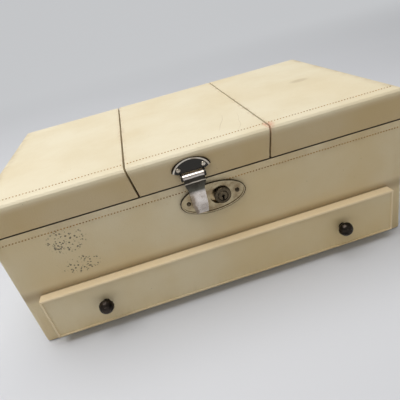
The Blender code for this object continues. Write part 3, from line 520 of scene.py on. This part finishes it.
class JewelryCaseColours(bpy.types.PropertyGroup):
    """Colours of the case"""

    cream: colour_setting("Cream", "Leather where it is cleanest", (0.76, 0.695, 0.52))
    cream_warm: colour_setting("Warm cream", "Leather where it is a little darker", (0.71, 0.63, 0.445))
    # this colour is also the painted shade that darkens and yellows the front of the case and the lids
    yellowed_tone_and_shade: colour_setting("Yellowed", "Leather where old finish has yellowed", (0.65, 0.49, 0.235))
    # this colour paints grime and scratches, and also the painted shade on the lid's front face and above the drawer
    grime_and_shade: colour_setting("Grime", "Soiled edges and scratches", (0.33, 0.23, 0.12))
    folded: colour_setting("Folded", "Folded edges of the drawer front", (0.86, 0.70, 0.46))
    # this colour is a painted highlight on the drawer front's top strip and end ridges
    rubbed: colour_setting("Rubbed", "Bare hide at the seams", (0.42, 0.27, 0.15))
    sore: colour_setting("Sore", "Pinkish bare hide at a corner", (0.60, 0.27, 0.17))
    # this colour also paints the shade in the gap under the lid
    speck: colour_setting("Speck", "Black specks", (0.03, 0.024, 0.018))
    thread_pale: colour_setting("Thread", "Sewing thread where it is pale", (0.44, 0.21, 0.02))
    thread_brown: colour_setting("Thread shade", "Sewing thread where it is brown", (0.13, 0.055, 0.008))
    nickel: colour_setting("Nickel", "Plating where it is bright", (0.72, 0.66, 0.56))
    nickel_dull: colour_setting("Dull nickel", "Plating where it is tarnished", (0.45, 0.38, 0.29))
    brass: colour_setting("Brass", "Lock plate and hinges", (0.62, 0.49, 0.29))
    brass_dull: colour_setting("Dull brass", "Tarnished brass", (0.36, 0.26, 0.14))
    bronze: colour_setting("Bronze", "Knobs", (0.055, 0.045, 0.038))
    velvet: colour_setting("Velvet", "Pile of the wells and the drawer", (0.23, 0.022, 0.035))
    velvet_light: colour_setting("Velvet sheen", "Pile where it catches the light", (0.42, 0.06, 0.075))
    felt: colour_setting("Felt", "Foot of the case", (0.10, 0.085, 0.065))
    felt_light: colour_setting("Felt fibre", "Loose fibres of the foot", (0.17, 0.145, 0.115))
    wood_pale: colour_setting("Wood", "Boards inside the case", (0.56, 0.38, 0.21))
    wood_dark: colour_setting("Wood grain", "Grain of the boards", (0.34, 0.19, 0.09))
    floor: colour_setting("Floor", "Studio floor and backdrop", (0.64, 0.66, 0.70))


class JewelryCaseSizes(bpy.types.PropertyGroup):
    """Sizes of the finer shapes of the case"""

    stitch_pitch: length_setting("Stitch pitch", "Distance from one stitch to the next", 2.3 * MM)
    stitch_length: length_setting("Stitch length", "Length of one stitch", 1.05 * MM)
    stitch_width: length_setting("Stitch width", "Thickness of the thread", 0.72 * MM)
    front_stitch_drop: length_setting("Front stitch drop", "From the rim down to the sewn line", 5.6 * MM)
    lid_stitch_inset: length_setting("Lid stitch inset", "From the lid's front to the sewn line", 9.8 * MM)
    lid_roundness: length_setting("Lid roundness", "Radius of the lid's upper edges", 4.2 * MM)
    fold_inset: length_setting("Fold inset", "From the drawer front's ends to the folded ridge", 1.6 * MM)
    pad_crown: length_setting("Pad crown", "How far the pads rise in their middle", 1.6 * MM)


class CaseOperator:
    """What every operator of the case shares"""

    bl_options = {"REGISTER", "UNDO"}

    @property
    def sizes(self):
        return bpy.context.scene.jewelry_case_sizes

    @property
    def colours(self):
        return bpy.context.scene.jewelry_case_colours


class JEWELRYCASE_OT_finishes(CaseOperator, bpy.types.Operator):
    """Make the leather, metal, cloth and wood finishes"""

    bl_idname = "jewelry_case.finishes"
    bl_label = "Finishes"

    def execute(self, context):
        colours = self.colours
        LOOKS["leather"] = leather("cream_leather", colours)
        LOOKS["lining_leather"] = leather("lining_leather", colours, lining=True)
        LOOKS["nickel"] = metal("nickel_plate", colours.nickel, colours.nickel_dull, 0.26, colours.brass_dull)
        # painted reflections on the hasp, from the tongue up: bright, dark, a thin bright line, dark, and bright on the
        # barrel
        bright, dark, edge = (1.0, 0.96, 0.93), (0.06, 0.056, 0.048), (0.85, 0.8, 0.7)
        bands = [(0.0, bright), (0.48, bright), (0.56, (0.13, 0.13, 0.11)), (0.775, dark), (0.792, edge),
                 (0.81, dark), (0.9, dark), (0.912, bright)]
        LOOKS["hasp"] = metal("hasp_nickel", (0.9, 0.86, 0.82), (0.62, 0.57, 0.52), 0.24, bands=bands)
        # the hasp plate's dark middle is a painted reflection
        LOOKS["hasp_plate"] = metal("hasp_plate_nickel", colours.nickel, colours.nickel_dull, 0.2,
                                    reflection_field=(0.05, 0.047, 0.042), oval=(-8.9, 110.6, 14.6, 11.0))
        LOOKS["brass"] = metal("brass_plate", colours.brass, colours.brass_dull, 0.3, (0.30, 0.21, 0.11))
        LOOKS["lock_plate"] = metal("lock_plate_brass", (0.47, 0.39, 0.245), (0.28, 0.21, 0.12), 0.22,
                                    (0.30, 0.19, 0.10), oval=(1.8, 86.0, 25.5, 12.2))
        LOOKS["bronze"] = metal("dark_bronze", colours.bronze, (0.012, 0.01, 0.009), 0.3)
        LOOKS["button"] = metal("button_brass", (0.14, 0.11, 0.07), (0.06, 0.046, 0.03), 0.24, (0.03, 0.022, 0.015))
        LOOKS["steel"] = metal("spring_steel", (0.42, 0.42, 0.42), (0.25, 0.24, 0.23), 0.35)
        LOOKS["velvet"] = cloth_pile("red_velvet", colours.velvet, colours.velvet_light)
        LOOKS["felt"] = felt_cloth("brown_felt", colours.felt, colours.felt_light)
        LOOKS["wood"] = wood("plywood_long", colours.wood_pale, colours.wood_dark, "X")
        LOOKS["wood_deep"] = wood("plywood_deep", colours.wood_pale, colours.wood_dark, "Y")
        LOOKS["mirror"] = silvering("mirror_silver", (0.82, 0.83, 0.82))
        LOOKS["thread"] = thread("ochre_thread", colours.thread_pale, colours.thread_brown)
        return {"FINISHED"}


DRESSED = {
    "leather": ("case_cover", "centre_lid_cover", "left_lid_cover", "right_lid_cover"),
    "felt": ("base_pad",),
    "hasp": ("hasp",),
    "hasp_plate": ("hasp_plate",),
    "nickel": ("hasp_pin", "left_hasp_rivet", "right_hasp_rivet", "mirror_frame"),
    "lock_plate": ("lock_plate",),
    "brass": ("lock_case", "lock_catch", "rear_case_leaf", "left_case_leaf", "right_case_leaf",
              "centre_lid_leaf", "left_lid_leaf", "right_lid_leaf"),
    "button": ("lock_button", "key_plug", "left_lock_rivet", "right_lock_rivet"),
    "steel": ("lock_spring", "rear_hinge_pin", "left_hinge_pin", "right_hinge_pin"),
    "mirror": ("mirror",),
    "velvet": ("centre_lid_shell", "left_lid_shell", "right_lid_shell", "front_board", "back_board", "left_board",
               "right_board", "left_partition", "right_partition", "left_divider", "centre_divider"),
    "wood": ("case_floor", "middle_shelf", "drawer_front", "drawer_bottom", "drawer_back", "drawer_stop"),
    "wood_deep": ("left_runner", "right_runner", "left_drawer_side", "right_drawer_side"),
}


class JEWELRYCASE_OT_construction(CaseOperator, bpy.types.Operator):
    """Give the construction pieces that stay in sight their finishes"""

    bl_idname = "jewelry_case.construction"
    bl_label = "Construction"

    def execute(self, context):
        for finish, nodes in DRESSED.items():
            dress(look(finish), *nodes)
        return {"FINISHED"}


def row_of_stitches(name, start, end, sizes, upright, width_axis):
    """A sewn line: one rounded stitch, repeated from a start to an end."""
    start, end = Vector(start), Vector(end)
    run = end - start
    count = int(run.length / sizes.stitch_pitch)
    step = run / count
    along = run.normalized()
    reach = Vector([abs(c) for c in along]) * sizes.stitch_length
    reach += Vector([abs(c) for c in Vector(width_axis)]) * sizes.stitch_width
    reach += Vector([abs(c) for c in Vector(upright)]) * sizes.stitch_width
    middle = start + step / 2
    stitch = cuboid(name, middle - reach / 2, middle + reach / 2)
    with editing(stitch):
        bpy.ops.mesh.select_all(action="SELECT")
        bpy.ops.mesh.bevel(offset=0.17 * MM, segments=1, affect="EDGES")
        pick_faces(lambda place, normal: abs(normal.dot(along)) > 0.99)
        bpy.ops.transform.translate(value=Vector(upright) * -0.16 * MM)
    add_modifier(stitch, "ARRAY", count=count, use_relative_offset=False, use_constant_offset=True,
                 constant_offset_displace=step)
    return stitch


class JEWELRYCASE_OT_drawer_wrap(CaseOperator, bpy.types.Operator):
    """Wrap the drawer front in leather, with folded ridges along its edges"""

    bl_idname = "jewelry_case.drawer_wrap"
    bl_label = "Drawer wrap"

    def execute(self, context):
        low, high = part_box("drawer_front_cover")
        fold = self.sizes.fold_inset
        wrap = cuboid("drawer_wrap", low, high)
        with editing(wrap):
            pick_edges(lambda a, b: not (near(a.y, high.y) and near(b.y, high.y)))
            bpy.ops.mesh.bevel(offset=0.7 * MM, segments=3, affect="EDGES")
            pick_faces(lambda place, normal: normal.y < -0.99 and near(place.y, low.y))
            bpy.ops.mesh.inset(thickness=fold - 0.7 * MM)
            bpy.ops.mesh.inset(thickness=0.3 * MM, depth=-0.8 * MM)
            bpy.ops.mesh.inset(thickness=0.5 * MM, depth=-0.05 * MM)
        settle(wrap, "drawer", look("leather"), "cream_leather", "drawer_front_cover", angle=50)
        return {"FINISHED"}


class JEWELRYCASE_OT_knobs(CaseOperator, bpy.types.Operator):
    """Turn the two drawer knobs: a rosette, a waist and a faceted cap"""

    bl_idname = "jewelry_case.knobs"
    bl_label = "Knobs"

    def execute(self, context):
        for side in ("left", "right"):
            low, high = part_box(side + "_knob")
            middle = ((low.x + high.x) / 2, 0, (low.z + high.z) / 2)
            widest = (high.x - low.x) / 2
            tip = low.y
            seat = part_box("drawer_front_cover")[0].y + 0.9 * MM
            profile = [(0, seat), (widest * 0.5, seat), (widest * 0.5, seat - 1.4 * MM), (widest * 0.42, seat - 2.0 * MM),
                       (widest * 0.42, seat - 2.9 * MM), (widest * 0.86, seat - 3.9 * MM), (widest * 0.99, seat - 5.0 * MM),
                       (widest * 0.97, seat - 6.6 * MM), (widest * 0.84, tip + 2.4 * MM), (widest * 0.62, tip + 1.1 * MM),
                       (widest * 0.52, tip + 0.9 * MM), (widest * 0.45, tip + 0.35 * MM), (widest * 0.2, tip + 0.04 * MM),
                       (0, tip)]
            knob = turned(side + "_turned_knob", profile, middle, steps=14)
            with editing(knob):
                pick_edges(lambda a, b: max(a.y, b.y) < seat - 4.5 * MM and min(a.y, b.y) > tip + 1.0 * MM)
                bpy.ops.mesh.bevel(offset=0.16 * MM, segments=2, affect="EDGES")
            settle(knob, "drawer", look("bronze"), "bronze", side + "_knob", angle=22)
        return {"FINISHED"}


class JEWELRYCASE_OT_stitching(CaseOperator, bpy.types.Operator):
    """Sew the lines along the case and the three lids"""

    bl_idname = "jewelry_case.stitching"
    bl_label = "Stitching"

    def execute(self, context):
        sizes = self.sizes
        level = RIM - sizes.front_stitch_drop
        lines = [("front_stitches", "case", (CASE_LOW.x + 5 * MM, FRONT, level), (CASE_HIGH.x - 5 * MM, FRONT, level),
                  (0, -1, 0), (0, 0, 1))]
        across = FRONT + sizes.lid_stitch_inset
        for side in ("left", "centre", "right"):
            low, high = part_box(side + "_lid_cover")
            ends = [low.x + (5 if side == "left" else 1.2) * MM, high.x - (5 if side == "right" else 1.2) * MM]
            if side == "left":
                ends[1] = -54.9 * MM
            if side == "right":
                ends[0] = 54.9 * MM
            if side == "centre":
                ends = [-52.2 * MM, 52.2 * MM]
            lines.append((side + "_lid_stitches", side + "_lid", (ends[0], across, LID_TOP), (ends[1], across, LID_TOP),
                          (0, 0, 1), (0, 1, 0)))
        for name, body, start, end, upright, wide in lines:
            piece = row_of_stitches(name, start, end, sizes, upright, wide)
            settle(piece, body, look("thread"), "cream_leather", angle=60)
        return {"FINISHED"}


def swell(piece, pressure, cap):
    """Fills a pad with air as cloth, and holds back every point that moves too far."""
    before = [vertex.co.copy() for vertex in piece.data.vertices]
    low = [min(place[axis] for place in before) for axis in range(3)]
    high = [max(place[axis] for place in before) for axis in range(3)]
    cloth = piece.modifiers.new("Filling", "CLOTH")
    cloth.settings.use_pressure = True
    cloth.settings.uniform_pressure_force = pressure
    cloth.settings.effector_weights.gravity = 0
    for step in range(1, 21):
        bpy.context.scene.frame_set(step)
    select_only(piece)
    bpy.ops.object.modifier_apply(modifier=cloth.name)
    bpy.context.scene.frame_set(1)
    for vertex, start in zip(piece.data.vertices, before):
        move = vertex.co - start
        if move.length > cap:
            move = move.normalized() * cap
        made = start + move
        vertex.co = (min(max(made.x, low[0]), high[0]), min(max(made.y, low[1]), high[1]), max(made.z, low[2]))
    add_modifier(piece, "SUBSURF", levels=1, render_levels=1)


def cushion(node, body, crown, inset, cell, edge):
    """A padded piece in the place of a soft construction node."""
    low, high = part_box(node)
    low, high = low + Vector((inset, inset, 0)), high - Vector((inset, inset, 0))
    piece = cuboid(node + "_cushion", low, high)
    with editing(piece):
        bpy.ops.mesh.select_all(action="SELECT")
        bpy.ops.mesh.bevel(offset=edge, segments=3, affect="EDGES")
        for axis in (0, 1):
            length = high[axis] - low[axis] - 2 * edge
            pick_edges(lambda a, b: abs(a[axis] - b[axis]) > length * 0.98)
            bpy.ops.mesh.subdivide(number_cuts=max(int(length / cell), 1))
    swell(piece, 4.0, crown)
    settle(piece, body, look("velvet"), "velvet", node, angle=80)
    return piece


class JEWELRYCASE_OT_dust_lip(CaseOperator, bpy.types.Operator):
    """Line the inside of the rim with a velvet lip that closes the gap under the lids"""

    bl_idname = "jewelry_case.dust_lip"
    bl_label = "Dust lip"

    def execute(self, context):
        inner_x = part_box("right_board")[0].x - 0.05 * MM
        inner_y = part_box("back_board")[0].y - 0.05 * MM
        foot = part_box("left_partition")[1].z + 0.4 * MM
        lip = cuboid("dust_lip", (-inner_x, -inner_y, foot), (inner_x, inner_y, LID_LOW.z - 0.1 * MM))
        with editing(lip):
            pick_faces(lambda place, normal: abs(normal.z) > 0.9)
            bpy.ops.mesh.delete(type="FACE")
            bpy.ops.mesh.select_all(action="SELECT")
            bpy.ops.mesh.normals_make_consistent(inside=False)
        add_modifier(lip, "SOLIDIFY", thickness=1.0 * MM, offset=-1.0, use_even_offset=True)
        add_modifier(lip, "BEVEL", width=0.25 * MM, segments=2)
        return settle(lip, "case", look("velvet"), "velvet") and {"FINISHED"}


class JEWELRYCASE_OT_cushions(CaseOperator, bpy.types.Operator):
    """Pad the wells, the drawer and the ring rolls with velvet"""

    bl_idname = "jewelry_case.cushions"
    bl_label = "Cushions"

    def execute(self, context):
        crown = self.sizes.pad_crown
        for side in ("left", "centre", "right"):
            cushion(side + "_well_pad", "case", crown, 0.2 * MM, 4 * MM, 0.9 * MM)
        cushion("drawer_pad", "drawer", crown * 0.6, 0.3 * MM, 5 * MM, 0.6 * MM)
        for number in (1, 2, 3):
            cushion("ring_roll_%d" % number, "case", 0.9 * MM, 0.5 * MM, 3 * MM, 6.4 * MM)
        return {"FINISHED"}


class JEWELRYCASE_OT_stage(CaseOperator, bpy.types.Operator):
    """Set the floor, the backdrop, the lamps and the camera"""

    bl_idname = "jewelry_case.stage"
    bl_label = "Stage"

    def execute(self, context):
        colours = self.colours
        bpy.ops.object.select_all(action="DESELECT")
        bpy.ops.mesh.primitive_plane_add(size=5, location=(0, 0, 0))
        floor = named("floor")
        with editing(floor):
            pick_edges(lambda a, b: a.y > 2.4 and b.y > 2.4)
            bpy.ops.mesh.extrude_region_move(TRANSFORM_OT_translate={"value": (0, 0, 3)})
            pick_edges(lambda a, b: a.y > 2.4 and b.y > 2.4 and a.z < 0.1 and b.z < 0.1)
            bpy.ops.mesh.bevel(offset=1.2, segments=12, affect="EDGES")
        floor.data.shade_smooth()
        paper = Finish("studio_paper", roughness=0.75)
        place = paper.place()
        shade = paper.noise(place, 2.0, 2, 0.5)
        paper.give("Base Color", paper.mix(shade.over(0.3, 0.7), colours.floor, tuple(c * 0.96 for c in colours.floor)))
        far = paper.part(place, 1).over(0.15, 1.4)
        rays = paper.node("ShaderNodeLightPath")
        seen = (rays + paper.node("ShaderNodeLightPath", None, None, "Is Glossy Ray")).maths("MINIMUM", 1.0)
        glow = paper.node("ShaderNodeEmission", None, {"Color": (0.585, 0.595, 0.61, 1), "Strength": 1.0})
        blend = paper.node("ShaderNodeMixShader", None, {0: seen * (0.06 + far * 0.84), 1: Term(paper, paper.shader.outputs[0]), 2: glow})
        paper.tree.links.new(blend.socket, paper.tree.nodes["Material Output"].inputs["Surface"])
        floor.data.materials.append(paper.material)

        lamps = (("key_softbox", (-0.3, 0.05, 1.35), (0, 0, 0.08), 1.45, 22.5, (1.0, 0.985, 0.975)),
                 ("fill_softbox", (1.0, -1.0, 0.9), (0, 0, 0.06), 1.4, 0.9, (1.0, 0.98, 0.94)),
                 ("front_softbox", (-1.0, -1.3, 0.55), (0, 0, 0.06), 1.1, 0.5, (1.0, 0.97, 0.92)))
        for name, place, aim, size, power, tint in lamps:
            bpy.ops.object.light_add(type="AREA", location=place)
            lamp = bpy.context.object
            lamp.name = name
            lamp.rotation_euler = (Vector(aim) - Vector(place)).to_track_quat("-Z", "Y").to_euler()
            lamp.data.size = size
            lamp.data.energy = power
            lamp.data.color = tint
        world = bpy.data.worlds.new("soft_room")
        world.use_nodes = True
        room = world.node_tree
        room.nodes["Background"].inputs["Color"].default_value = (1.0, 0.96, 0.9, 1)
        room.nodes["Background"].inputs["Strength"].default_value = 0.24
        seen_wall = room.nodes.new("ShaderNodeBackground")
        seen_wall.inputs["Color"].default_value = (0.585, 0.595, 0.61, 1)
        paths = room.nodes.new("ShaderNodeLightPath")
        choice = room.nodes.new("ShaderNodeMixShader")
        room.links.new(paths.outputs["Is Camera Ray"], choice.inputs[0])
        room.links.new(room.nodes["Background"].outputs[0], choice.inputs[1])
        room.links.new(seen_wall.outputs[0], choice.inputs[2])
        room.links.new(choice.outputs[0], room.nodes["World Output"].inputs["Surface"])
        context.scene.world = world

        bpy.ops.object.camera_add(location=Vector((-31.511, -341.976, 220.008)) * MM)
        camera = bpy.context.object
        camera.data.lens = 33.70
        camera.data.sensor_width = 36
        camera.data.clip_start = 0.01
        ahead = (Vector((-8.284, -97.0, 86.072)) * MM - camera.location).normalized()
        right = ahead.cross(Vector((0, 0, 1))).normalized()
        up = right.cross(ahead)
        roll = -0.252
        across = right * math.cos(roll) + up * math.sin(roll)
        above = up * math.cos(roll) - right * math.sin(roll)
        turn = Matrix((across, above, -ahead)).transposed()
        camera.rotation_euler = turn.to_euler()
        context.scene.camera = camera
        context.scene.view_settings.view_transform = "Standard"
        return {"FINISHED"}


class JEWELRYCASE_PT_pieces(bpy.types.Panel):
    """Pieces, sizes and colours of the case"""

    bl_label = "Jewelry Case"
    bl_idname = "JEWELRYCASE_PT_pieces"
    bl_space_type = "VIEW_3D"
    bl_region_type = "UI"
    bl_category = "Jewelry Case"

    def draw(self, context):
        for operator in OPERATORS:
            self.layout.operator(operator.bl_idname)
        for settings in (context.scene.jewelry_case_sizes, context.scene.jewelry_case_colours):
            for setting in settings.__annotations__:
                self.layout.prop(settings, setting)


OPERATORS = (JEWELRYCASE_OT_finishes, JEWELRYCASE_OT_construction, JEWELRYCASE_OT_drawer_wrap,
             JEWELRYCASE_OT_knobs, JEWELRYCASE_OT_stitching,
             JEWELRYCASE_OT_dust_lip, JEWELRYCASE_OT_cushions, JEWELRYCASE_OT_stage)
SETTINGS = (JewelryCaseSizes, JewelryCaseColours)


def register():
    for made in (*SETTINGS, *OPERATORS, JEWELRYCASE_PT_pieces):
        bpy.utils.register_class(made)
    bpy.types.Scene.jewelry_case_sizes = bpy.props.PointerProperty(type=JewelryCaseSizes)
    bpy.types.Scene.jewelry_case_colours = bpy.props.PointerProperty(type=JewelryCaseColours)


def unregister():
    del bpy.types.Scene.jewelry_case_colours
    del bpy.types.Scene.jewelry_case_sizes
    for made in reversed((*SETTINGS, *OPERATORS, JEWELRYCASE_PT_pieces)):
        bpy.utils.unregister_class(made)


def main():
    register()
    for operator in OPERATORS:
        getattr(bpy.ops.jewelry_case, operator.bl_idname.split(".")[1])()


if __name__ == "__main__":
    main()
